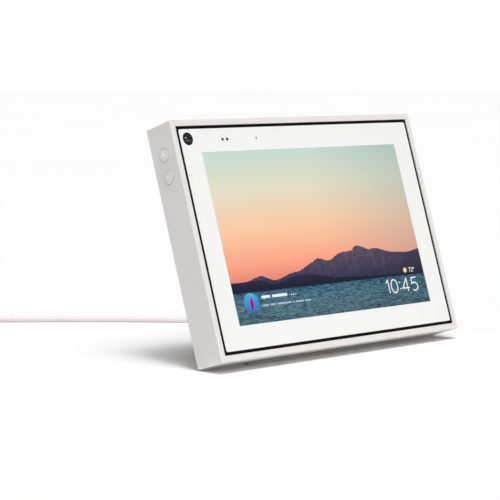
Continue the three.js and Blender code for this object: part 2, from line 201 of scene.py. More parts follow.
def make(name, draw, matrix=DISPLAY, angle=32, weighted=True, bevel=0.0):
    """A new object from a function that draws into a bmesh, in millimetres."""
    bm = bmesh.new()
    draw(bm)
    bmesh.ops.recalc_face_normals(bm, faces=bm.faces)
    mesh = bpy.data.meshes.new(name)
    bmesh.ops.scale(bm, vec=(MM, MM, MM), verts=bm.verts)
    bm.to_mesh(mesh)
    bm.free()
    obj = bpy.data.objects.new(name, mesh)
    scene.collection.objects.link(obj)
    obj.matrix_world = matrix
    if bevel:
        add_bevel(obj, bevel)
    finish_mesh(obj, angle, weighted)
    return obj


def add_bevel(obj, width):
    """Rounds every edge that turns by more than 30 degrees."""
    modifier = obj.modifiers.new("bevel", "BEVEL")
    modifier.width = width * MM
    modifier.segments = 2
    modifier.limit_method = "ANGLE"
    modifier.angle_limit = math.radians(30)
    modifier.harden_normals = False
    apply_all(obj)


def apply_all(obj):
    """The object's mesh as its modifiers make it."""
    bpy.context.view_layer.update()
    graph = bpy.context.evaluated_depsgraph_get()
    mesh = bpy.data.meshes.new_from_object(obj.evaluated_get(graph))
    old = obj.data
    obj.modifiers.clear()
    obj.data = mesh
    bpy.data.meshes.remove(old)
    mesh.name = obj.name


def carve(obj, draw, operation="DIFFERENCE", angle=32):
    """Cuts what draw makes out of obj, or joins it to obj."""
    tool = make(obj.name + "_tool", draw, obj.matrix_world.copy(), weighted=False)
    obj.modifiers.clear()
    modifier = obj.modifiers.new("carve", "BOOLEAN")
    modifier.operation = operation
    modifier.solver = "EXACT"
    modifier.object = tool
    apply_all(obj)
    bpy.data.objects.remove(tool)
    finish_mesh(obj, angle)


def dress(obj, material, body, slot, *nodes):
    """Gives a piece its material and its body, and hides the nodes it stands for. The slot is not used."""
    obj.data.materials.clear()
    obj.data.materials.append(material)
    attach(obj, body)
    if nodes:
        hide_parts(*nodes)
    return obj


# ---------------------------------------------------------------- material helpers
class Finish:
    """A Principled material whose colour, roughness and relief come from noise in the object's space."""

    def __init__(self, name, roughness=0.5, metallic=0.0, specular=0.5, coat=0.0, coat_roughness=0.03):
        self.material = bpy.data.materials.new(name)
        self.material.use_nodes = True
        self.tree = self.material.node_tree
        self.tree.nodes.clear()
        self.out = self.add("ShaderNodeOutputMaterial")
        self.shader = self.add(
            "ShaderNodeBsdfPrincipled",
            Roughness=roughness,
            Metallic=metallic,
            Specular_IOR_Level=specular,
            Coat_Weight=coat,
            Coat_Roughness=coat_roughness,
        )
        self.link(self.shader.outputs["BSDF"], self.out.inputs["Surface"])
        self.place = self.add("ShaderNodeTexCoord").outputs["Object"]

    def add(self, kind, **inputs):
        """A new node with inputs set; an underscore stands for a space in an input's name."""
        node = self.tree.nodes.new(kind)
        for name, value in inputs.items():
            node.inputs[name.replace("_", " ")].default_value = value
        return node

    def link(self, a, b):
        self.tree.links.new(a, b)

    def put(self, socket, value):
        self.shader.inputs[socket].default_value = value

    def noise(self, scale, detail=2.0, rough=0.5, stretch=(1, 1, 1), distortion=0.0):
        node = self.add(
            "ShaderNodeTexNoise", Scale=scale, Detail=detail, Roughness=rough, Distortion=distortion
        )
        self.link(self.stretched(stretch), node.inputs["Vector"])
        return node.outputs["Fac"]

    def stretched(self, stretch):
        if stretch == (1, 1, 1):
            return self.place
        node = self.add("ShaderNodeMapping", Scale=stretch)
        self.link(self.place, node.inputs["Vector"])
        return node.outputs["Vector"]

    def span(self, value, low, high, from_low=0.3, from_high=0.7):
        """A value's range from_low to from_high, moved to low to high."""
        node = self.add(
            "ShaderNodeMapRange", From_Min=from_low, From_Max=from_high, To_Min=low, To_Max=high
        )
        self.link(value, node.inputs["Value"])
        return node.outputs["Result"]

    def mix(self, factor, first, second):
        node = self.add("ShaderNodeMix")
        node.data_type = "RGBA"
        if isinstance(factor, float):
            node.inputs["Factor"].default_value = factor
        else:
            self.link(factor, node.inputs["Factor"])
        for socket, colour in ((node.inputs[6], first), (node.inputs[7], second)):
            if isinstance(colour, tuple):
                socket.default_value = (*colour, 1)
            else:
                self.link(colour, socket)
        return node.outputs[2]

    def ramp(self, factor, stops):
        node = self.add("ShaderNodeValToRGB")
        elements = node.color_ramp.elements
        while len(elements) < len(stops):
            elements.new(0.5)
        for element, (place, colour) in zip(elements, stops):
            element.position = place
            element.color = (*colour, 1)
        self.link(factor, node.inputs["Fac"])
        return node.outputs["Color"]

    def maths(self, operation, a, b=0.0):
        node = self.add("ShaderNodeMath")
        node.operation = operation
        for socket, value in ((node.inputs[0], a), (node.inputs[1], b)):
            if isinstance(value, (int, float)):
                socket.default_value = value
            else:
                self.link(value, socket)
        return node.outputs[0]

    def axes(self):
        node = self.add("ShaderNodeSeparateXYZ")
        self.link(self.place, node.inputs[0])
        return node.outputs

    def colour(self, socket):
        self.link(socket, self.shader.inputs["Base Color"])

    def mottle(self, noise, low, high):
        """A base colour that wanders between two."""
        self.colour(self.mix(self.span(noise, 0, 1), low, high))

    def gloss(self, noise, low, high):
        """A roughness that wanders between two values."""
        self.link(self.span(noise, low, high), self.shader.inputs["Roughness"])

    def relief(self, height, depth):
        node = self.add("ShaderNodeBump", Strength=1.0, Distance=depth * MM)
        self.link(height, node.inputs["Height"])
        self.link(node.outputs["Normal"], self.shader.inputs["Normal"])


def linear(r, g, b):
    """A colour given as 0 to 255 on a screen, in linear light."""

    def one(c):
        c = c / 255
        return c / 12.92 if c <= 0.04045 else ((c + 0.055) / 1.055) ** 2.4

    return (one(r), one(g), one(b))


def shade(colour, factor):
    return tuple(c * factor for c in colour)


def moulded(name, colour, roughness, grain=0.35, depth=0.006, mottle=0.02, specular=0.45, coat=0.0):
    """Moulded plastic: a fine texture, faint flow mottling, uneven gloss."""
    f = Finish(name, roughness, specular=specular, coat=coat, coat_roughness=0.12)
    f.mottle(f.noise(38, 3), shade(colour, 1 - mottle), shade(colour, 1 + mottle))
    f.gloss(f.noise(420, 3), roughness - 0.06, roughness + 0.06)
    f.relief(f.noise(1000 / grain), depth)
    return f.material


def sheet_metal(name, colour, roughness, stretch, depth=0.004):
    """Rolled or brushed metal: long fine streaks."""
    f = Finish(name, roughness, metallic=1.0)
    streaks = f.noise(900, 4, 0.6, stretch)
    f.mottle(streaks, shade(colour, 0.88), shade(colour, 1.08))
    f.gloss(f.noise(700, 3, 0.6, stretch), roughness - 0.1, roughness + 0.12)
    f.relief(streaks, depth)
    return f.material


# ---------------------------------------------------------------- materials
FRAME_WHITE = moulded("white_plastic_finish", linear(229, 224, 223), 0.46, 0.32, 0.005)
# The plus and minus are whiter than the button's plastic: a painted highlight for the light the raised marks
# catch.
MARK_PAINTED_HIGHLIGHT = moulded("button_mark_finish", linear(246, 244, 243), 0.42, 0.32, 0.004)
LEG_WHITE = moulded("leg_plastic_finish", linear(226, 222, 221), 0.5, 0.4, 0.008)
REAR_GREY = moulded("rear_plastic_finish", linear(214, 210, 208), 0.62, 0.5, 0.018, 0.03)
RUBBER = moulded("grey_rubber_finish", linear(176, 174, 172), 0.86, 0.7, 0.03, 0.05, specular=0.3)
BLACK = moulded("black_plastic_finish", (0.012, 0.012, 0.014), 0.62, 0.5, 0.012, 0.2)
ADAPTER_WHITE = moulded("adapter_plastic_finish", linear(232, 230, 228), 0.34, 0.6, coat=0.15)
ALUMINIUM = sheet_metal("sheet_aluminium_finish", (0.78, 0.79, 0.81), 0.34, (1, 0.04, 1))
STEEL = sheet_metal("sheet_steel_finish", (0.6, 0.6, 0.61), 0.38, (0.05, 1, 1))
SCREW = sheet_metal("screw_steel_finish", (0.5, 0.5, 0.51), 0.32, (1, 1, 0.1))
NICKEL = sheet_metal("pin_metal_finish", (0.8, 0.78, 0.74), 0.2, (0.05, 1, 1), depth=0.001)


def printed_glass():
    """White print seen through polished glass."""
    f = Finish("printed_glass_finish", 0.3, coat=1.0, coat_roughness=0.035)
    white = linear(246, 246, 245)
    f.mottle(f.noise(16), shade(white, 0.985), white)
    f.gloss(f.noise(60, 3), 0.28, 0.36)
    return f.material


def cord_jacket():
    """Smooth extruded jacket, a little uneven in colour and gloss."""
    f = Finish("cord_white_finish", 0.46, specular=0.35)
    white = linear(236, 229, 231)
    f.mottle(f.noise(55, 3), shade(white, 0.96), shade(white, 1.02))
    f.gloss(f.noise(260, 3), 0.34, 0.52)
    f.relief(f.noise(900), 0.008)
    return f.material


def board_finish():
    """Solder mask over copper tracks."""
    f = Finish("circuit_board_finish", 0.4)
    tracks = f.add(
        "ShaderNodeTexBrick",
        Scale=260,
        Mortar_Size=0.03,
        Color1=(0.012, 0.1, 0.045, 1),
        Color2=(0.014, 0.12, 0.055, 1),
        Mortar=(0.03, 0.2, 0.09, 1),
    )
    f.link(f.place, tracks.inputs["Vector"])
    f.colour(tracks.outputs["Color"])
    f.gloss(f.noise(300, 3), 0.3, 0.5)
    f.relief(tracks.outputs["Fac"], 0.02)
    return f.material


def cone_finish():
    """Pressed paper pulp and rubber."""
    f = Finish("speaker_cone_finish", 0.8, specular=0.3)
    fibres = f.noise(1400, 6, 0.75, (1, 0.3, 1))
    f.mottle(fibres, (0.012, 0.012, 0.014), (0.05, 0.05, 0.055))
    f.gloss(f.noise(500), 0.7, 0.95)
    f.relief(fibres, 0.04)
    return f.material


def cloth_finish():
    """Acoustic cloth behind the slots: an even plain weave."""
    f = Finish("speaker_cloth_finish", 0.9, specular=0.25)
    x, y, _ = f.axes()
    thread = 0.55 * MM
    pitch = 2 * math.pi / thread
    warp = f.maths("SINE", f.maths("MULTIPLY", x, pitch))
    weft = f.maths("SINE", f.maths("MULTIPLY", y, pitch))
    weave = f.maths("MULTIPLY", warp, weft)
    f.colour(f.mix(f.span(weave, 0, 1, -1, 1), (0.02, 0.02, 0.022), (0.09, 0.09, 0.095)))
    f.gloss(f.noise(900), 0.8, 1.0)
    f.relief(weave, 0.05)
    return f.material


def lens_finish():
    """Coated camera glass, very dark with a blue cast that changes across it."""
    f = Finish("camera_glass_finish", 0.06, specular=0.7, coat=1.0, coat_roughness=0.01)
    f.mottle(f.noise(220, 1), (0.003, 0.003, 0.006), (0.01, 0.012, 0.025))
    f.gloss(f.noise(500), 0.04, 0.09)
    return f.material


def glossy_black(name, low, high, roughness=0.16):
    """Smooth dark plastic or glass, clear-coated."""
    f = Finish(name, roughness, coat=0.6, coat_roughness=0.05)
    f.mottle(f.noise(300), low, high)
    f.gloss(f.noise(600), roughness - 0.04, roughness + 0.06)
    return f.material


def window_finish():
    """Clear domed glass with a dark tint."""
    f = Finish("camera_window_finish", 0.03, specular=0.6, coat=1.0, coat_roughness=0.14)
    f.mottle(f.noise(300, 1), (0.1, 0.1, 0.12), (0.16, 0.16, 0.18))
    f.put("Transmission Weight", 0.92)
    f.put("IOR", 1.5)
    f.gloss(f.noise(500), 0.02, 0.05)
    return f.material


PRINTED = printed_glass()
WINDOW = window_finish()
CORD = cord_jacket()
BOARD = board_finish()
CONE = cone_finish()
CLOTH = cloth_finish()
LENS = lens_finish()
BEZEL_BLACK = glossy_black("camera_bezel_finish", (0.006, 0.006, 0.007), (0.014, 0.014, 0.016))
SENSOR_GREY = glossy_black("sensor_grey_finish", (0.05, 0.048, 0.047), (0.09, 0.088, 0.086), 0.3)
SENSOR_BLACK = glossy_black("sensor_black_finish", (0.01, 0.01, 0.011), (0.02, 0.02, 0.022), 0.2)

BY_SLOT = {
    "white_plastic": FRAME_WHITE,
    "rear_plastic": REAR_GREY,
    "grey_rubber": RUBBER,
    "printed_glass": PRINTED,
    "black_plastic": BLACK,
    "camera_glass": LENS,
    "sheet_aluminium": ALUMINIUM,
    "sheet_steel": STEEL,
    "circuit_board": BOARD,
    "speaker_cone": CONE,
    "screw_steel": SCREW,
    "cord_white": CORD,
    "adapter_plastic": ADAPTER_WHITE,
    "pin_metal": NICKEL,
}
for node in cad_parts.values():
    slot_name = node.data.materials[0].name.split(".")[0]
    if slot_name in BY_SLOT:
        node.material_slots[0].material = BY_SLOT[slot_name]


# ---------------------------------------------------------------- power cord
# The route, in millimetres from the rear bottom edge, as the CAD has it.
ROUTE = [
    (82, 46.3, 6.25), (82, 53, 4.2), (82.2, 60, 2.8), (82.6, 68, 2.2),
    (82.9, 80, 2.05), (81.4, 93, 2.05), (77.3, 106, 2.05), (70.4, 118.5, 2.05),
    (60.5, 130.5, 2.05), (46, 145.6, 2.05), (29, 163, 2.05), (11, 182, 2.05),
    (-12.6, 206, 2.05), (-38.8, 231, 2.05), (-54, 244.4, 2.05), (-66, 255, 2.05),
    (-78.7, 266.5, 2.05),
]


def coil_route():
    """Turns inwards on the surface, up, and outwards on top, then off to the adapter."""
    outer, inner, low, high = 31, 16, 2.05, 6.05
    sweep, count = 2 * math.pi * 3.75, 67
    points = []

    def put(angle, radius, z):
        points.append((COIL[0] + radius * math.cos(angle), COIL[1] + radius * math.sin(angle), z))

    start = math.radians(47.7)
    for k in range(count + 1):
        put(start + sweep * k / count, outer + (inner - outer) * k / count, low)
    start += sweep
    for k in range(1, 9):
        rise = 0.5 - 0.5 * math.cos(math.pi * k / 9)
        put(start + math.pi * k / 9, inner, low + (high - low) * rise)
    start += math.pi
    for k in range(count + 1):
        put(start + sweep * k / count, inner + (outer - inner) * k / count, high)
    start += sweep
    for k in range(1, 5):
        put(start + math.radians(72.3) * k / 4, outer + 0.5 * k / 4, high + 0.25 * k / 4)
    x, y, _ = points[-1]
    for share, height in ((0.35, 6.8), (0.7, 7.6), (1.0, 8.0)):
        points.append((x + share * (ADAPTER[0] - x), y + share * (ADAPTER[1] - y), height))
    return points


def cord_piece():
    data = bpy.data.curves.new("power_cord", "CURVE")
    data.dimensions = "3D"
    data.bevel_depth = CORD_R * MM
    data.bevel_resolution = 5
    data.resolution_u = 6
    data.use_fill_caps = True
    route = [Vector((x, y + REST_Y, z)) * MM for x, y, z in ROUTE + coil_route()]
    spline = data.splines.new("BEZIER")
    spline.bezier_points.add(len(route) - 1)
    for point, place in zip(spline.bezier_points, route):
        point.co = place
        point.handle_left_type = point.handle_right_type = "AUTO"
    obj = bpy.data.objects.new("power_cord", data)
    scene.collection.objects.link(obj)
    data.materials.append(CORD)
    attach(obj, "case")
    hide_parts("cord_run", "cord_coil")
    return obj, route


power_cord, cord_points = cord_piece()


def ribbed(length, thin, thick):
    """Profile of a strain relief along Z, thin end first, with ring grooves."""
    pitch, groove = 3.2, 0.75
    profile = [(0, 0), (thin * 0.86, 0), (thin, 0.35)]
    z = 2.4
    while z < length - 3.0:
        radius = thin + (thick - thin) * z / length
        profile += [
            (radius, z),
            (radius - groove * 0.2, z + 0.12),
            (radius - groove, z + 0.35),
            (radius - groove, z + 1.05),
            (radius - groove * 0.2, z + 1.3),
            (radius + 0.02, z + 1.42),
        ]
        z += pitch
    profile += [(thick, length - 0.4), (thick - 0.3, length), (0, length)]
    return profile


def draw_plug_relief(bm):
    start = BACK - 42
    turned(bm, [(r, start + z) for r, z in ribbed(23 - GAP, 2.6, 3.9)], *SOCKET, count=40)


plug_relief = make("plug_relief_ribs", draw_plug_relief)
dress(plug_relief, CORD, "case", "cord_white", "plug_strain_relief")


def draw_plug(bm):
    """A round grip with five grooves, then the barrel that goes into the socket."""
    end = BACK - 19
    profile = [(0, end), (3.9, end), (4.35, end + 0.2), (4.6, end + 0.6)]
    for k in range(5):
        z = end + 2.2 + 2.1 * k
        radius = 4.6 + 0.8 * min(1, (z - end) / 5)
        profile += [(radius, z), (radius - 0.28, z + 0.25), (radius - 0.28, z + 0.75), (radius, z + 1.0)]
    profile += [(5.4, end + 14), (5.4, BACK - 0.9), (5.1, BACK - 0.3), (4.7, BACK - 0.05), (2.75, BACK)]
    profile += [(2.75, BACK + 8.6), (2.35, BACK + 9), (0, BACK + 9)]
    turned(bm, profile, *SOCKET)


plug = make("power_plug_body", draw_plug)
dress(plug, CORD, "case", "cord_white", "power_plug")

# The wall adapter, in its own axes: cord outlet at the origin, body towards +X.
ADAPTER_PLACE = Vector((ADAPTER[0], ADAPTER[1] + REST_Y, 0)) * MM
OUTLET = Matrix.Translation(ADAPTER_PLACE) @ Matrix.Rotation(math.radians(210), 4, "Z")
RELIEF_L, BODY_L, BODY_W, BODY_H = 18.0, 38.0, 34.0, 26.0


def draw_adapter(bm):
    """A rounded block with a seam round it."""
    centre = RELIEF_L + GAP + BODY_L / 2
    fillet, seam = 2.4, 13.0
    levels = [(0.0, 1.6), (0.35, 0.75), (0.9, 0.25), (1.6, 0.0)]
    levels += [(seam - 0.3, 0.0), (seam - 0.2, 0.25), (seam + 0.2, 0.25), (seam + 0.3, 0.0)]
    levels += [(BODY_H - fillet + fillet * s, fillet * (1 - c)) for c, s in quarter_turn(5)]
    rings = []
    for z, inset in levels:
        rings.append(inset_ring(BODY_L, BODY_W, inset, 4 - inset * 0.5, z, centre, 0, 8))
    loft(bm, rings)


adapter = make("adapter_shell", draw_adapter, OUTLET, angle=30)
dress(adapter, ADAPTER_WHITE, "case", "adapter_plastic", "adapter_body")

TURN_X = Matrix.Rotation(math.pi / 2, 4, "Y")
adapter_relief = make(
    "adapter_relief_ribs",
    lambda bm: turned(bm, ribbed(RELIEF_L, 2.6, 4.0), count=40),
    OUTLET @ Matrix.Translation((0, 0, 8 * MM)) @ TURN_X,
)
dress(adapter_relief, CORD, "case", "cord_white", "adapter_strain_relief")


# The two pins: how far each is from the middle, their height, their roots and their holes.
PIN_Y, PIN_Z = 6.35, BODY_H / 2
PIN_X = RELIEF_L + BODY_L + 2 * GAP
PIN_HOLE_X = PIN_X + 12.6


def draw_pin(bm, side):
    length, half_t, half_w = 17.0, 0.8, 3.2
    rings = []
    for x, shrink in ((0, 0), (length - 2.4, 0), (length - 0.7, 0.35), (length, 0.62)):
        t, w = half_t * (1 - shrink), half_w - shrink * 1.9
        corners = ((-t, -w), (t, -w), (t, w), (-t, w))
        rings.append([Vector((PIN_X + x, side * PIN_Y + y, PIN_Z + z)) for y, z in corners])
    loft(bm, rings)


def pin_hole(bm, side):
    ring = circle(1.55, 0, count=28)
    rows = []
    for y in (side * PIN_Y - 3, side * PIN_Y + 3):
        rows.append([Vector((PIN_HOLE_X + p.x, y, PIN_Z + p.y)) for p in ring])
    loft(bm, rows)


for side, word in ((-1, "left"), (1, "right")):
    pin = make("adapter_blade_" + word, lambda bm: draw_pin(bm, side), OUTLET, bevel=0.18)
    carve(pin, lambda bm: pin_hole(bm, side))
    dress(pin, NICKEL, "case", "pin_metal", "adapter_pin_" + word)


def draw_tie(bm):
    """A flat hook-and-loop strap round the coil's bundle."""
    angle, width, thick = math.radians(232), 9.0, 0.7
    out = Vector((math.cos(angle), math.sin(angle), 0))
    side = Vector((-math.sin(angle), math.cos(angle), 0))
    centre = Vector((COIL[0], COIL[1] + REST_Y, 0))
    bundle, middle = 20.2, 23.5
    rings = []
    for p in rounded(bundle, 8.15, 3.2, 0, steps=7):
        direction = Vector((p.x, p.y, 0))
        normal = Vector((p.x / 10.1, p.y / 4.1, 0)).normalized()
        ring = []
        for w, t in ((-1, 0), (1, 0), (1, 1), (-1, 1)):
            q = direction + normal * (t * thick - thick * 0.5)
            z = max(q.y + 4.35, 0.02 + 0.02 * t)
            ring.append(centre + out * (middle + q.x) + side * (w * width / 2) + Vector((0, 0, z)))
        rings.append(ring)
    loft(bm, rings, wrap=True)


tie = make("cord_tie", draw_tie, GROUND, angle=40)
dress(tie, RUBBER, "case", "grey_rubber")


# ---------------------------------------------------------------- housing
def draw_frame(bm):
    """Outer walls with rounded edges, the front rim, and the inner walls behind it."""
    edge, rear, lip = 0.5, 0.4, 0.12
    levels = [(rear * (1 - s), BACK + rear * (1 - c)) for c, s in quarter_turn(4)]
    levels += [(edge * (1 - c), RIM_FACE - edge * (1 - s)) for c, s in quarter_turn(4)]
    rings = [inset_ring(FRAME_W, FRAME_H, inset, 1.2 - inset * 0.8, z) for inset, z in levels]
    inner = [(RIM_W - lip * (1 - s), RIM_FACE - lip * (1 - c)) for c, s in quarter_turn(3)]
    inner += [(RIM_W, RIM_FACE - RIM_T), (WALL, RIM_FACE - RIM_T), (WALL, BACK + 0.25), (WALL - 0.25, BACK)]
    rings += [inset_ring(FRAME_W, FRAME_H, inset, 0.6, z) for inset, z in inner]
    loft(bm, rings, wrap=True)


def frame_holes(bm):
    """Two round button holes in the left wall and the slider's slot in the top wall."""
    side = -FRAME_W / 2
    for y in BUTTONS.values():
        rows = []
        for radius, depth in ((4.4, -2), (4.4, 0.0), (4.28, 0.06), (4.2, 0.2), (4.2, 6)):
            ring = circle(radius, 0, count=56)
            rows.append([Vector((side + depth, y + p.x, BUTTON_Z + p.y)) for p in ring])
        loft(bm, rows)
    knob_half, travel = 6.4, 9
    x0, x1 = SLIDER_X - knob_half - travel, SLIDER_X + knob_half
    rows = []
    for grow, depth in ((0.4, 2), (0.4, 0), (0.0, -0.4), (0.0, -6)):
        ring = inset_ring(x1 - x0, 4.4, -grow, 0.9 + grow, 0, (x0 + x1) / 2, SLIDER_Z)
        rows.append([Vector((p.x, HALF + depth, p.y)) for p in ring])
    loft(bm, rows)


shell = make("frame_shell", draw_frame, angle=40)
carve(shell, frame_holes, angle=40)
dress(shell, FRAME_WHITE, "case", "white_plastic", "outer_frame")


def draw_glass(bm):
    """The white-printed border of the glass, open over the lit picture."""
    bevel, under = 0.06, -0.2
    rings = [rounded(GLASS_W, GLASS_H, 1.2, under)]
    for c, s in quarter_turn(2):
        inset = bevel * (1 - c)
        rings.append(inset_ring(GLASS_W, GLASS_H, inset, 1.2 - inset, -bevel * (1 - s)))
    rings += [rounded(SCREEN_W, SCREEN_H, 0.25, z, 0, SCREEN_Y) for z in (0, under)]
    loft(bm, rings, wrap=True)


def draw_glass_edge(bm):
    """The glass's thickness below the print, dark because no light comes up through it."""
    rings = []
    for w, h, z in (
        (GLASS_W - 0.1, GLASS_H - 0.1, -0.9),
        (GLASS_W, GLASS_H, -0.8),
        (GLASS_W, GLASS_H, -0.2),
        (SCREEN_W + 0.2, SCREEN_H + 0.2, -0.2),
        (SCREEN_W + 0.2, SCREEN_H + 0.2, -GLASS_T),
        (GLASS_W - 0.5, GLASS_H - 0.5, -GLASS_T),
    ):
        rings.append(rounded(w, h, 1.2, z, 0, SCREEN_Y if w < 180 else 0))
    loft(bm, rings, wrap=True)


def draw_shade_lining(bm):
    """A black lining on the rim's inner wall, behind the glass: painted shade that darkens the narrow gap
    round the glass.
    """
    section = ((0.0, -3.3), (0.0, -0.5), (0.06, -0.44), (0.2, -0.44), (0.26, -0.52), (0.26, -3.3))
    start = RIM_W + 0.02
    loft(bm, [inset_ring(FRAME_W, FRAME_H, start + inset, 0.6, z) for inset, z in section], wrap=True)


def glass_holes(bm):
    turned(bm, [(0, -3), (4.05, -3), (4.05, 2), (0, 2)], *CAMERA_XY, count=56)
    for place in SENSORS:
        turned(bm, [(0, -3), (1.05, -3), (1.05, 2), (0, 2)], *place, count=32)
    turned(bm, [(0, -3), (0.62, -3), (0.62, -0.1), (0.7, 0.0), (0.7, 2), (0, 2)], *MIC, count=24)


glass = make("glass_border", draw_glass, angle=40)
carve(glass, glass_holes, angle=20)
dress(glass, PRINTED, "case", "printed_glass", "cover_glass")
glass_edge = make("glass_dark_edge", draw_glass_edge, angle=25)
carve(glass_edge, glass_holes, angle=25)
dress(glass_edge, BEZEL_BLACK, "case", "camera_glass")
# The black lining paints shade into the gap round the glass.
dress(make("reveal_shade_lining", draw_shade_lining, angle=25), BLACK, "case", "black_plastic")


# Camera: a glossy black disc in the glass with a fine groove and a well, a clear domed window in the
# well, and the lens behind the shutter's path.
def draw_bezel(bm):
    well = [(2.0, -1.35), (2.0, -0.5), (2.06, -0.36), (2.16, -0.36), (2.26, -0.12), (2.34, -0.06)]
    groove = [(2.66, -0.05), (2.74, -0.06), (2.8, -0.08), (2.86, -0.17), (2.96, -0.17), (3.02, -0.08)]
    profile = [*well, *groove, (3.1, -0.05), (3.9, -0.045), (4.02, -0.09), (4.02, -1.35)]
    rows = [circle(r, z, *CAMERA_XY, count=64) for r, z in profile]
    loft(bm, rows, wrap=True)


bezel = make("camera_ring", draw_bezel, angle=25)
dress(bezel, BEZEL_BLACK, "case", "camera_glass")


def draw_lens(bm):
    profile = [(0, -2.74), (2.6, -2.74), (2.6, -2.5), (2.45, -2.42), (2.3, -2.46), (2.2, -2.5)]
    radius = 2.1
    for k in range(9):
        r = radius * (1 - k / 8)
        profile.append((r, -2.5 + 0.34 * (1 - (r / radius) ** 2)))
    turned(bm, profile, *CAMERA_XY, count=56)


lens = make("camera_lens_dome", draw_lens, angle=30)
dress(lens, LENS, "case", "camera_glass", "camera_lens")


def draw_window(bm):
    """The clear domed window in the well."""
    radius, rise = 2.1, 1.0
    profile = [(0, -1.4), (1.9, -1.4), (1.98, -1.15), (radius, -1.0)]
    for k in range(1, 10):
        r = radius * (1 - k / 9)
        profile.append((r, -1.0 + rise * (1 - (r / radius) ** 2)))
    profile[-1] = (0, profile[-1][1])
    turned(bm, profile, *CAMERA_XY, count=56)


dress(make("camera_window", draw_window, angle=30), WINDOW, "case", "camera_glass")


def draw_sensor_window(bm, x, y):
    profile = [(0, -1.0), (1.03, -1.0), (1.03, -0.12), (0.96, -0.05), (0.72, -0.04), (0.66, -0.14)]
    turned(bm, [*profile, (0.4, -0.1), (0, -0.08)], x, y, 32)


for (x, y), word, look in zip(SENSORS, ("left", "right"), (SENSOR_GREY, SENSOR_BLACK)):
    window = make("sensor_window_" + word, lambda bm: draw_sensor_window(bm, x, y), angle=25)
    dress(window, look, "case", "camera_glass")


# ---------------------------------------------------------------- screen picture
SCREEN_LEFT, SCREEN_RIGHT = -SCREEN_W / 2, SCREEN_W / 2
SCREEN_LOW = SCREEN_Y - SCREEN_H / 2
SKY_TOP, HORIZON = 53.7, -34.5
# Where the picture's layers end, below the glass's outer face.
SKY_Z, FAR_Z, NEAR_Z, SEA_Z, FIGURE_Z = -0.1, -0.085, -0.07, -0.055, -0.035
# The room's faint reflection in the glass, taken off every screen colour.
REFLECTION = 0.008


def lit(name):
    """A lit layer of the screen: its colour is the light it gives, under polished glass."""
    f = Finish(name, 0.3, specular=0.05, coat=1.0, coat_roughness=0.035)
    f.put("Base Color", (0.004, 0.004, 0.005, 1))
    f.put("Emission Strength", 1.075)
    f.gloss(f.noise(90), 0.28, 0.34)
    return f


def glow(f, socket):
    f.link(socket, f.shader.inputs["Emission Color"])
    return f.material


def picture(r, g, b):
    """A colour as the screen shows it, in linear light, less the room's reflection."""
    return tuple(max(0.0, c - REFLECTION) for c in linear(r, g, b))


def column(f, height, heights, colours):
    """Screen colours that follow one another up or down the picture."""
    return f.ramp(height, tuple(zip(heights, (picture(*c) for c in colours))))


def between(f, place, start, end, low=0, high=1):
    """A share that goes from low to high between two places in the picture, in millimetres."""
    return f.span(place, low, high, start * MM, end * MM)


SKY_HEIGHTS = (0.0, 0.2, 0.45, 0.72, 1.0)
SKY_COLOURS = ((216, 112, 106), (250, 164, 134), (248, 202, 164), (226, 220, 196), (196, 218, 208))
DUSK = (130, 160, 165)


def sky_finish():
    """Evening sky: red at the horizon, pale above it, dusky towards the right, with faint drifts."""
    f = lit("sky_light")
    x, y, _ = f.axes()
    drift = f.noise(14, 3, 0.55, (0.35, 1.6, 1))
    wave = f.maths("MULTIPLY", f.maths("SUBTRACT", drift, 0.5), 4.5 * MM)
    height = between(f, f.maths("ADD", y, wave), HORIZON, SKY_TOP)
    sky = column(f, height, SKY_HEIGHTS, SKY_COLOURS)
    dusky = f.mix(between(f, x, 0, SCREEN_RIGHT, 0, 0.4), sky, picture(*DUSK))
    above = between(f, y, HORIZON - 0.1, HORIZON + 0.1)
    return glow(f, f.mix(above, picture(22, 40, 58), dusky))


def far_finish():
    """Hazy range: pale at the ridge, cooler and darker lower down, with soft gullies."""
    f = lit("far_range_light")
    x, y, _ = f.axes()
    gullies = f.noise(230, 5, 0.6, (1.0, 0.8, 1), 0.8)
    heights = (0.0, 0.4, 1.0)
    height = between(f, y, -33.5, -12.5)
    faces = column(f, height, heights, ((50, 50, 70), (78, 70, 95), (105, 85, 102)))
    hollows = column(f, height, heights, ((42, 42, 64), (62, 58, 82), (84, 68, 90)))
    shaded = column(f, height, heights, ((40, 40, 60), (54, 50, 72), (72, 54, 64)))
    body = f.mix(f.span(gullies, 0, 1, 0.4, 0.6), hollows, faces)
    return glow(f, f.mix(between(f, x, 45, 80, 0, 0.85), body, shaded))


def near_finish():
    """Wooded hills in shade."""
    f = lit("near_hills_light")
    height = between(f, f.axes()[1], -35.2, -27.2)
    slopes = column(f, height, (0.0, 0.4, 1.0), ((12, 32, 56), (32, 36, 58), (54, 42, 64)))
    woods = f.noise(300, 4, 0.6, (1.2, 0.7, 1))
    return glow(f, f.mix(f.span(woods, 0, 0.45, 0.42, 0.68), slopes, picture(22, 26, 46)))


SEA_DEPTHS = (0.0, 0.08, 0.3, 0.6, 1.0)
SEA_COLOURS = ((10, 36, 64), (36, 82, 108), (66, 108, 128), (78, 106, 118), (68, 92, 104))
SHADED_WATER = (20, 42, 60)


def sea_finish():
    """Open water: dark at the horizon, teal, then greyer, with short low ripples."""
    f = lit("sea_light")
    x, y, _ = f.axes()
    open_water = column(f, between(f, y, HORIZON, SCREEN_LOW), SEA_DEPTHS, SEA_COLOURS)
    water = f.mix(between(f, x, 0, SCREEN_RIGHT, 0, 0.45), open_water, picture(*SHADED_WATER))
    fine = f.noise(430, 3, 0.6, (0.6, 3.2, 1), 0.3)
    broad = f.noise(170, 3, 0.6, (0.3, 2.2, 1), 0.3)
    ripples = f.maths("ADD", f.maths("MULTIPLY", fine, 0.7), f.maths("MULTIPLY", broad, 0.3))
    dark = f.mix(0.55, water, picture(10, 42, 66))
    pale = f.mix(0.28, water, picture(130, 178, 192))
    return glow(f, f.mix(f.span(ripples, 0, 1, 0.42, 0.58), dark, pale))


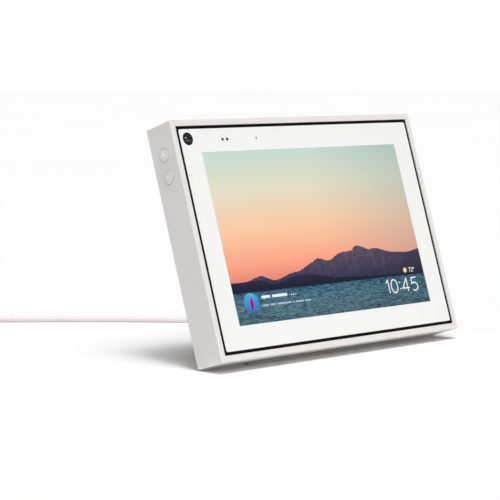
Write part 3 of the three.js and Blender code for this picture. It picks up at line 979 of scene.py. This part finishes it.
def plain_light(name, colour, varied=0.94):
    """One colour, uneven down to varied of its light."""
    f = lit(name)
    return glow(f, f.mix(f.span(f.noise(700), 0, 1), shade(colour, varied), colour))


ICON_X, ICON_Y, ICON_R = -72.6, -40.8, 5.9


def icon_finish():
    """A round icon's blue, paler towards the top."""
    f = lit("icon_light")
    height = between(f, f.axes()[1], ICON_Y - 5.8, ICON_Y + 6.2)
    return glow(f, column(f, height, (0, 0.55, 1), ((52, 112, 200), (60, 150, 215), (86, 176, 226))))


SKY = sky_finish()
FAR = far_finish()
NEAR = near_finish()
SEA = sea_finish()
CLOCK = plain_light("clock_light", picture(240, 246, 250))
CAPTION = plain_light("caption_light", picture(176, 192, 202))
SUN = plain_light("sun_light", picture(244, 226, 120))
ICON = icon_finish()
LEAF = plain_light("leaf_light", picture(190, 24, 140), 0.8)
STALK = plain_light("stalk_light", picture(48, 22, 74), 0.8)


def layer(name, draw, material):
    obj = make(name, draw, angle=20, weighted=False)
    return dress(obj, material, "case", "display_picture")


def draw_sky(bm):
    loft(bm, [inset_ring(SCREEN_W, SCREEN_H, 0.05, 0.2, z, 0, SCREEN_Y) for z in (-1.35, -0.14, SKY_Z)])


sky = layer("screen_sky", draw_sky, SKY)
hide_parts("display_panel")


def smooth_line(points, pieces):
    """Catmull-Rom through [x, y] points."""
    ends = [Vector(p) for p in (points[0], *points, points[-1])]
    line = []
    for a, b, c, d in zip(ends, ends[1:], ends[2:], ends[3:]):
        for k in range(pieces):
            t = k / pieces
            bend = 2 * a - 5 * b + 4 * c - d
            twist = 3 * b - a - 3 * c + d
            line.append((2 * b + (c - a) * t + bend * t**2 + twist * t**3) / 2)
    line.append(ends[-1])
    return line


def roughened(line, size, wavelength):
    """Small ragged steps on a ridge line, from a few sines that don't repeat together."""
    made = []
    for x, y in line:
        waves = [math.sin(x * 2 * math.pi / (wavelength * s) + 7 * s) * s for s in (1.0, 0.47, 0.23)]
        made.append((x, y + size * sum(waves)))
    return made


def ridge(line, z0, z1):
    """Draws the land under a ridge line, down to just below the horizon."""
    low = HORIZON - 1.1

    def draw(bm):
        count = len(line)
        top = [bm.verts.new((x, y, z1)) for x, y in line]
        foot = [bm.verts.new((x, low, z1)) for x, _ in line]
        under_top = [bm.verts.new((x, y, z0)) for x, y in line]
        under_foot = [bm.verts.new((x, low, z0)) for x, _ in line]
        for i in range(count - 1):
            j = i + 1
            bm.faces.new((foot[i], foot[j], top[j], top[i]))
            bm.faces.new((under_foot[j], under_foot[i], under_top[i], under_top[j]))
            bm.faces.new((top[i], top[j], under_top[j], under_top[i]))
            bm.faces.new((foot[j], foot[i], under_foot[i], under_foot[j]))
        bm.faces.new((foot[0], top[0], under_top[0], under_foot[0]))
        bm.faces.new((top[-1], foot[-1], under_foot[-1], under_top[-1]))

    return draw


LEFT, RIGHT = SCREEN_LEFT + 0.06, SCREEN_RIGHT - 0.06
FAR_RIDGE = (
    (LEFT, -27.8), (-79, -28.2), (-71, -27.6), (-66, -26.4), (-60, -25.3), (-55, -27),
    (-50, -28.7), (-45, -28.3), (-38, -26.4), (-32, -25.2), (-27, -24.8), (-22, -23),
    (-17, -21), (-13, -19.6), (-9, -18), (-5, -18.7), (-1, -19.9), (3, -19.6),
    (7, -17.6), (12, -15.9), (18, -15.4), (23, -15), (25.5, -13.2), (28, -12.2),
    (31, -12.7), (34, -13.6), (39, -15.4), (44, -14.9), (50, -16), (57, -18),
    (65, -19), (73, -19.4), (80, -18.9), (RIGHT, -17.9),
)
NEAR_RIDGE = (
    (LEFT, -28.6), (-76, -28.7), (-68, -28.2), (-60, -28.1), (-56, -29.6), (-51, -31),
    (-43, -30.1), (-36, -28.4), (-29, -27.5), (-21, -27.3), (-13, -28.2), (-4, -29.7),
    (3, -31.1), (12, -31.6), (25, -32.5), (42, -33), (60, -33.4), (75, -33.7),
    (RIGHT, -33.9),
)
far_line = roughened(smooth_line(FAR_RIDGE, 5), 0.2, 3.1)
near_line = roughened(smooth_line(NEAR_RIDGE, 6), 0.1, 4.3)
layer("screen_far_range", ridge(far_line, SKY_Z, FAR_Z), FAR)
layer("screen_near_hills", ridge(near_line, FAR_Z, NEAR_Z), NEAR)


def draw_sea(bm):
    width = SCREEN_W - 0.12
    top, low = HORIZON - 0.2, SCREEN_LOW + 0.06
    loft(bm, [rounded(width, top - low, 0.1, z, 0, (top + low) / 2) for z in (SKY_Z, SEA_Z)])


layer("screen_sea", draw_sea, SEA)


def stroke(bm, points, width, z0=SEA_Z, z1=FIGURE_Z, closed=False):
    """A ribbon of even width along flat points, with mitred turns."""
    count = len(points)
    sides = []
    for i, (x, y) in enumerate(points):
        before = points[i - 1] if i or closed else None
        after = points[(i + 1) % count] if i < count - 1 or closed else None
        here = Vector((x, y))
        d0 = (here - Vector(before)).normalized() if before else None
        d1 = (Vector(after) - here).normalized() if after else None
        d0 = d0 or d1
        d1 = d1 or d0
        mean = (d0 + d1).normalized()
        normal = Vector((-mean.y, mean.x))
        reach = width / 2 / max(0.35, normal.dot(Vector((-d1.y, d1.x))))
        sides.append((here + normal * reach, here - normal * reach))
    rings = []
    for a, b in sides:
        rings.append([Vector((*p, z)) for p, z in ((b, z0), (b, z1), (a, z1), (a, z0))])
    loft(bm, rings, wrap=closed)


def arc_points(cx, cy, rx, ry, start, end, steps=18):
    made = []
    for k in range(steps + 1):
        a = math.radians(start + (end - start) * k / steps)
        made.append((cx + rx * math.cos(a), cy + ry * math.sin(a)))
    return made


def digit(bm, figure, x, y, w, h, width):
    """One figure, its lower left corner at x, y and its lines in shares of its width and height."""

    def at(*shares):
        return [(x + w * across, y + h * up) for across, up in shares]

    def arc(across, up, rx, ry, *turn):
        return arc_points(x + w * across, y + h * up, w * rx, h * ry, *turn)

    if figure == "0":
        stroke(bm, arc(0.5, 0.5, 0.5, 0.5, 0, 351, 39), width, closed=True)
    elif figure == "1":
        stroke(bm, at((0.05, 0.78), (0.62, 1), (0.62, 0)), width)
    elif figure == "2":
        stroke(bm, arc(0.5, 0.72, 0.48, 0.28, 165, -35, 16) + at((0.02, 0), (1, 0)), width)
    elif figure == "4":
        stroke(bm, at((1, 0.27), (0, 0.27), (0.72, 1), (0.72, 0)), width)
    elif figure == "5":
        bowl = arc(0.46, 0.31, 0.52, 0.31, 112, -128, 20)
        stroke(bm, at((0.9, 1), (0.16, 1), (0.1, 0.56)) + bowl, width)
    elif figure == "7":
        stroke(bm, at((0, 1), (1, 1), (0.36, 0)), width)
    elif figure == ":":
        for share in (0.2, 0.68):
            dot = y + h * share
            stroke(bm, [(x, dot), (x, dot + width * 1.1)], width * 1.15)


def draw_clock(bm):
    low, high, width = -45.6, 8.6, 0.84
    places = (("1", 47.6, 3.6), ("0", 52.2, 6.0), (":", 60.6, 1), ("4", 62.8, 6.6), ("5", 71.6, 5.9))
    for figure, x, w in places:
        digit(bm, figure, x, low, w, high, width)


def draw_temperature(bm):
    low, high, width = -32.8, 2.5, 0.4
    for figure, x in (("7", 72.0), ("2", 74.3)):
        digit(bm, figure, x, low, 1.7, high, width)
    stroke(bm, arc_points(77.1, low + 2.1, 0.45, 0.45, 0, 330, 11), 0.28, closed=True)


def draw_sun(bm):
    loft(bm, [circle(1.65, z, 68.5, -31.6, 28) for z in (SEA_Z, FIGURE_Z)])


def pill(bm, x0, x1, y, height):
    """A round-ended bar."""
    middle = (x0 + x1) / 2
    loft(bm, [rounded(x1 - x0, height, height / 2 - 0.01, z, middle, y, 5) for z in (SEA_Z, FIGURE_Z)])


TEXT_X = ICON_X + 9


def draw_name(bm):
    y = -38.3
    pill(bm, TEXT_X, -56.2, y, 1.7)
    pill(bm, -54.6, -41.6, y, 1.7)
    for x in (-38.2, -36.2, -34.2):
        pill(bm, x - 0.45, x + 0.45, y - 0.4, 0.88)


def draw_caption(bm):
    gap = 1.15
    x = TEXT_X
    for length in (5.2, 4.6, 12.4, 1.2, 7.0, 5.2):
        pill(bm, x, x + length, -43.4, 1.05)
        x += length + gap


def draw_icon(bm):
    loft(bm, [circle(ICON_R, z, ICON_X, ICON_Y) for z in (SEA_Z, FIGURE_Z)])


def draw_leaf(bm):
    outline = []
    for k in range(40):
        a = 2 * math.pi * k / 40
        wide = 1.75 * math.sin(a) * (0.55 + 0.45 * abs(math.cos(a / 2)))
        outline.append((-72.4 + wide, -41.4 - 3.3 * math.cos(a)))
    prism(bm, outline, FIGURE_Z, -0.025)


def draw_stalk(bm):
    stroke(bm, [(-73.4, -45.6), (-72.5, -43.4), (-72.2, -41), (-72.3, -38.4)], 0.5, -0.03, -0.018)


layer("screen_clock", draw_clock, CLOCK)
layer("screen_temperature", draw_temperature, CLOCK)
layer("screen_sun", draw_sun, SUN)
layer("screen_name_bars", draw_name, CLOCK)
layer("screen_caption_bars", draw_caption, CAPTION)
layer("screen_icon", draw_icon, ICON)
layer("screen_icon_leaf", draw_leaf, LEAF)
layer("screen_icon_stalk", draw_stalk, STALK)


# ---------------------------------------------------------------- controls
def draw_button(bm):
    """Along its own Z: 0 is just inside the case wall's outer face, positive goes into the case."""
    profile = [(0, -0.5), (2.6, -0.5), (3.2, -0.46)]
    profile += [(3.4 + 0.6 * s, 0.14 - 0.6 * c) for c, s in quarter_turn(5)]
    profile += [(4.0, 2.9), (4.65, 2.9), (4.65, 3.8), (1.6, 3.8), (1.6, 5.4), (0, 5.4)]
    turned(bm, profile, count=56)


def draw_mark(bm, plus):
    """The plus or minus, standing a little proud of its button."""
    reach, half = 1.5, 0.36
    across = ((-reach, -half), (reach, -half), (reach, half), (-reach, half))
    cross = ((reach, half), (half, half), (half, reach), (-half, reach), (-half, half), (-reach, half))
    outline = [*cross, *((-x, -y) for x, y in cross)] if plus else across
    prism(bm, outline, -0.78, -0.3)


# A button's own +Z runs into the case, its +Y up the side.
INWARDS = Matrix(((0, 0, 1, 0), (0, 1, 0, 0), (-1, 0, 0, 0), (0, 0, 0, 1)))
for name, y in BUTTONS.items():
    where = DISPLAY @ Matrix.Translation(Vector((-FRAME_W / 2 + 0.1, y, BUTTON_Z)) * MM) @ INWARDS
    button = make(name + "_cap", draw_button, where, angle=30)
    dress(button, FRAME_WHITE, name + "_button", "white_plastic", name + "_button")
    # Each mark gets the whiter finish, a painted highlight.
    mark = make(name + "_mark", lambda bm: draw_mark(bm, name == "volume_up"), where, angle=30, bevel=0.14)
    dress(mark, MARK_PAINTED_HIGHLIGHT, name + "_button", "white_plastic")


KNOB_TOP = HALF - 0.2


def draw_knob(bm):
    base = HALF - WALL - GAP
    plate = [(32, 6.8, base - 0.8), (32, 6.8, base)]
    grip = [(12, 3.8, base), (12, 3.8, KNOB_TOP - 0.35), (11.6, 3.4, KNOB_TOP - 0.08), (11.3, 3.1, KNOB_TOP)]
    rows = []
    for w, d, y in plate + grip:
        ring = rounded(w, d, 0.7, 0, SLIDER_X, SLIDER_Z)
        rows.append([Vector((p.x, y, p.y)) for p in ring])
    loft(bm, rows)


def knob_grooves(bm):
    groove = ((-0.4, 0.5), (-0.34, 0), (0, -0.42), (0.34, 0), (0.4, 0.5))
    for k in range(-3, 4):
        x = SLIDER_X + k * 1.25
        section = [(x + across, KNOB_TOP + up) for across, up in groove]
        loft(bm, [[Vector((*p, SLIDER_Z + side)) for p in section] for side in (-2.5, 2.5)])


knob = make("privacy_slider_cap", draw_knob, angle=30)
carve(knob, knob_grooves, angle=30)
dress(knob, FRAME_WHITE, "privacy_slider", "white_plastic", "privacy_slider_knob")


# ---------------------------------------------------------------- rear
def draw_rear(bm):
    """A plate with a rounded rear edge, inside the frame's walls."""
    w, h = FRAME_W - 2 * WALL - 2 * GAP, FRAME_H - 2 * WALL - 2 * GAP
    fillet = 0.5
    levels = [(fillet * (1 - s), COVER_BACK + fillet * (1 - c)) for c, s in quarter_turn(4)]
    loft(bm, [inset_ring(w, h, inset, 1.0, z) for inset, z in (*levels, (0, COVER_IN))])


def bore(bm, radius, deep, x, y, flare=0.3, count=64):
    """A round hole from the back, wider by flare where it breaks the surface."""
    wide = radius + flare
    profile = [(0, BACK - 2), (wide, BACK - 2), (wide, COVER_BACK)]
    profile += [(radius + flare * 0.3, COVER_BACK + flare * 0.45), (radius, COVER_BACK + flare)]
    turned(bm, [*profile, (radius, deep), (0, deep)], x, y, count)


def rear_cuts(bm):
    """Recesses for the hub and the screws, the speaker slots, and the socket."""
    bore(bm, HUB_R + 0.5, HUB_SEAT, HUB_X, 0, 0.35, 96)
    for x, y in SCREWS:
        bore(bm, 2.9, SCREW_SEAT, x, y, 0.3, 40)
    grille, pitch, half = 12.5, 3.6, 0.8
    for x in SPEAKERS:
        for row in range(-3, 4):
            rise = row * pitch
            reach = math.sqrt(grille**2 - rise**2) - half
            slot_tool(bm, x - reach, x + reach, SPEAKER_Y + rise, half, COVER_BACK, -17, 0.22)
    bore(bm, 5.3, -15, *SOCKET, 0.5, 56)


def rear_bores(bm):
    """Through holes for the leg's neck and the screws' shanks."""
    for radius, x, y, count in ((16.3, HUB_X, 0, 64), *((1.35, x, y, 24) for x, y in SCREWS)):
        turned(bm, [(0, -24), (radius, -24), (radius, -15), (0, -15)], x, y, count)


rear = make("rear_panel", draw_rear, angle=35)
carve(rear, rear_cuts, angle=35)
carve(rear, rear_bores, angle=35)
dress(rear, REAR_GREY, "case", "rear_plastic", "rear_cover")


def draw_cloth(bm, x):
    profile = [(0, -19.14), (13.4, -19.12), (13.6, -19.08), (13.6, -18.98), (0, -18.98)]
    turned(bm, profile, x, SPEAKER_Y)


for x, word in zip(SPEAKERS, ("left", "right")):
    cloth = make("speaker_cloth_" + word, lambda bm: draw_cloth(bm, x))
    dress(cloth, CLOTH, "case", "speaker_cone")


def draw_screw(bm, x, y):
    """A domed head on a threaded shank."""
    seat = SCREW_SEAT - GAP
    dome = ((0, 1.0), (0.9, 0.99), (1.7, 0.93), (2.3, 0.74), (2.56, 0.5), (2.6, 0.25), (2.55, 0))
    profile = [*((radius, seat - rise) for radius, rise in dome), (1.0, seat)]
    z = seat + 0.8
    while z < seat + 7.4:
        profile += [(0.82, z), (1.05, z + 0.28), (0.82, z + 0.56)]
        z += 0.7
    profile += [(0.6, seat + 7.7), (0, seat + 8)]
    turned(bm, profile, x, y, 32)


def recess_bar(bm, x, y, turn):
    """One bar of the cross in a screw's head."""
    c, s = math.cos(turn), math.sin(turn)
    rows = []
    for z, half_l, half_w in ((COVER_BACK - 1.0, 1.65, 0.36), (COVER_BACK + 0.75, 0.8, 0.2)):
        corners = ((-half_l, -half_w), (half_l, -half_w), (half_l, half_w), (-half_l, half_w))
        rows.append([Vector((x + a * c - b * s, y + a * s + b * c, z)) for a, b in corners])
    loft(bm, rows)


for index, (x, y) in enumerate(SCREWS):
    screw = make(f"case_screw_{index + 1}", lambda bm: draw_screw(bm, x, y), angle=35)
    for turn in (0, math.pi / 2):
        carve(screw, lambda bm: recess_bar(bm, x, y, turn), angle=35)
    dress(screw, SCREW, "case", "screw_steel", f"cover_screw_{index + 1}")


# ---------------------------------------------------------------- stand
STAND_H = PLACE.z
FOOT_FRONT, FOOT_BACK = BACK - 67, BACK - 80
PAD = 2.5


def surface_at(depth, lift=0.0):
    """The height up the leaning case, at a depth behind it, that is lift above the surface."""
    return (lift - STAND_H - depth * math.sin(LEAN)) / math.cos(LEAN)


def quadratic(a, b, c, t):
    """A point of a quadratic Bezier curve."""
    return tuple((1 - t) ** 2 * p + 2 * t * (1 - t) * q + t * t * r for p, q, r in zip(a, b, c))


def draw_leg(bm):
    """Sections from inside the hub down to the foot, between a rear and a front curve."""
    lift = PAD + GAP
    rear_line = ((12, -23), (-6, -62), (surface_at(FOOT_BACK, lift), FOOT_BACK))
    front_line = ((-16, -23), (-24, -52), (surface_at(FOOT_FRONT, lift), FOOT_FRONT))
    rings = []
    steps = 30
    for k in range(-1, steps + 1):
        t = max(0, k) / steps
        a, b = Vector(quadratic(*rear_line, t)), Vector(quadratic(*front_line, t))
        if k < 0:
            a, b = a + Vector((0, 1.6)), b + Vector((0, 1.6))
        middle, half = (a + b) / 2, (a - b) / 2
        flare = 2.6 * max(0, 1 - t / 0.1) ** 2
        width = 30 - 8 * (middle.y + 23) / (FOOT_BACK + 23)
        close = 0.45 if k == steps else (0.12 if k == steps - 1 else 0)
        flat = inset_ring(width, 2 * half.length, close / 2 - flare, min(4.2, half.length * 0.75), 0)
        along = half.normalized()
        placed = [(p.x, middle + along * p.y) for p in flat]
        rings.append([Vector((HUB_X + across, *point)) for across, point in placed])
    loft(bm, rings)


def draw_hub(bm):
    """A disc with a fine groove and a rounded edge, on the neck that goes through the cover."""
    face, seat, neck_end, edge = -24.4, HUB_SEAT - GAP, -18.3, 1.2
    groove = ((25.2, 0), (25.4, 0.1), (25.5, 0.28), (25.9, 0.28), (26.0, 0.1), (26.2, 0))
    profile = [(0, face), *((radius, face + depth) for radius, depth in groove)]
    profile += [(HUB_R - edge + edge * s, face + edge * (1 - c)) for c, s in quarter_turn(5)]
    profile += [(HUB_R, seat - 0.3), (HUB_R - 0.3, seat), (16, seat), (16, neck_end), (0, neck_end)]
    turned(bm, profile, HUB_X, 0, 96)


def pivot_hole(bm):
    turned(bm, [(0, -22.3), (2.3, -22.3), (2.3, -15), (0, -15)], HUB_X, 0, 32)


leg = make("stand_leg_smooth", draw_leg, angle=38)
carve(leg, draw_hub, "UNION", angle=38)
carve(leg, pivot_hole, angle=38)
dress(leg, LEG_WHITE, "stand", "white_plastic", "stand_leg")


def in_world_y(y, z):
    """How far back a point of the leaning group is in the frame's axes."""
    return (DISPLAY @ (Vector((0, y, z)) * MM)).y / MM


def draw_pad(bm):
    """A rubber foot with five grooves across its tread."""
    front = FOOT_FRONT - 0.6
    front_y, back_y = in_world_y(surface_at(front), front), in_world_y(surface_at(FOOT_BACK), FOOT_BACK)
    top_front = in_world_y(surface_at(front, PAD), front)
    top_back = in_world_y(surface_at(FOOT_BACK, PAD), FOOT_BACK)
    outline = [(front_y, 0.0)]
    pitch = (back_y - front_y) / 6
    for k in range(1, 6):
        y = front_y + k * pitch
        outline += [(y - 0.45, 0), (y - 0.3, 0.55), (y + 0.3, 0.55), (y + 0.45, 0)]
    outline += [(back_y, 0), (top_back, PAD), (top_front, PAD)]
    loft(bm, [[Vector((HUB_X + x, y, z)) for y, z in outline] for x in (-10.5, 10.5)])


pad = make("foot_pad_tread", draw_pad, GROUND, angle=35, bevel=0.16)
dress(pad, RUBBER, "stand", "grey_rubber", "foot_pad")


def draw_strip(bm):
    """A rubber strip with two grooves, in the wedge under the rear bottom edge."""

    def under(along):
        return (
            REST_Y - along * math.cos(LEAN) - GAP * math.sin(LEAN),
            LIFT + along * math.sin(LEAN) - GAP * math.cos(LEAN),
        )

    (back_y, back_z), (front_y, front_z) = under(1), under(5.5)
    outline = [(front_y, front_z), (front_y + 0.5, 0)]
    for share in (0.35, 0.65):
        y = front_y + 0.5 + (back_y - front_y - 0.5) * share
        outline += [(y - 0.35, 0), (y - 0.2, 0.22), (y + 0.2, 0.22), (y + 0.35, 0)]
    outline += [(back_y, 0), (back_y, back_z)]
    loft(bm, [[Vector((x, y, z)) for y, z in outline] for x in (-70, 70)])


strip = make("base_strip_ribbed", draw_strip, GROUND, angle=35)
dress(strip, RUBBER, "case", "grey_rubber", "base_strip")


# ---------------------------------------------------------------- room
def floor_finish():
    f = Finish("floor_finish", 0.9, specular=0.15)
    f.mottle(f.noise(2), (0.96, 0.96, 0.96), (0.98, 0.98, 0.98))
    f.gloss(f.noise(30), 0.85, 0.95)
    return f.material


def draw_floor(bm):
    reach = 9000
    loft(bm, [rounded(2 * reach, 2 * reach, 500, z) for z in (-60, 0)])


floor = make("floor", draw_floor, GROUND, weighted=False)
floor.data.materials.append(floor_finish())


def key_light(name, place, strength, spread):
    """One even light from far off; its spread in degrees sets how soft its shadows are."""
    data = bpy.data.lights.new(name, "SUN")
    data.energy = strength
    data.angle = math.radians(spread)
    obj = bpy.data.objects.new(name, data)
    obj.location = place
    obj.rotation_euler = Vector(place).to_track_quat("Z", "Y").to_euler()
    scene.collection.objects.link(obj)


key_light("overhead", (-0.12, -0.3, 1), 0.75, 12)
key_light("over_the_front", (-0.14, -0.32, 1), 1.98, 36)
key_light("left_side", (-1, 0, 0.6), 0.31, 50)
key_light("low_front", (0.1, -1, 0.12), 0.37, 20)

# The room's even light, and the brighter wall that only the camera sees.
ROOM, WALL_LIGHT = 0.16, 1.1
world = bpy.data.worlds.new("world")
scene.world = world
world.use_nodes = True
nodes, links = world.node_tree.nodes, world.node_tree.links
nodes.clear()
either = nodes.new("ShaderNodeMixShader")
links.new(nodes.new("ShaderNodeLightPath").outputs["Is Camera Ray"], either.inputs["Fac"])
for socket, strength in ((1, ROOM), (2, WALL_LIGHT)):
    background = nodes.new("ShaderNodeBackground")
    background.inputs["Color"].default_value = (1, 1, 1, 1)
    background.inputs["Strength"].default_value = strength
    links.new(background.outputs[0], either.inputs[socket])
links.new(either.outputs[0], nodes.new("ShaderNodeOutputWorld").inputs["Surface"])

bpy.context.view_layer.update()
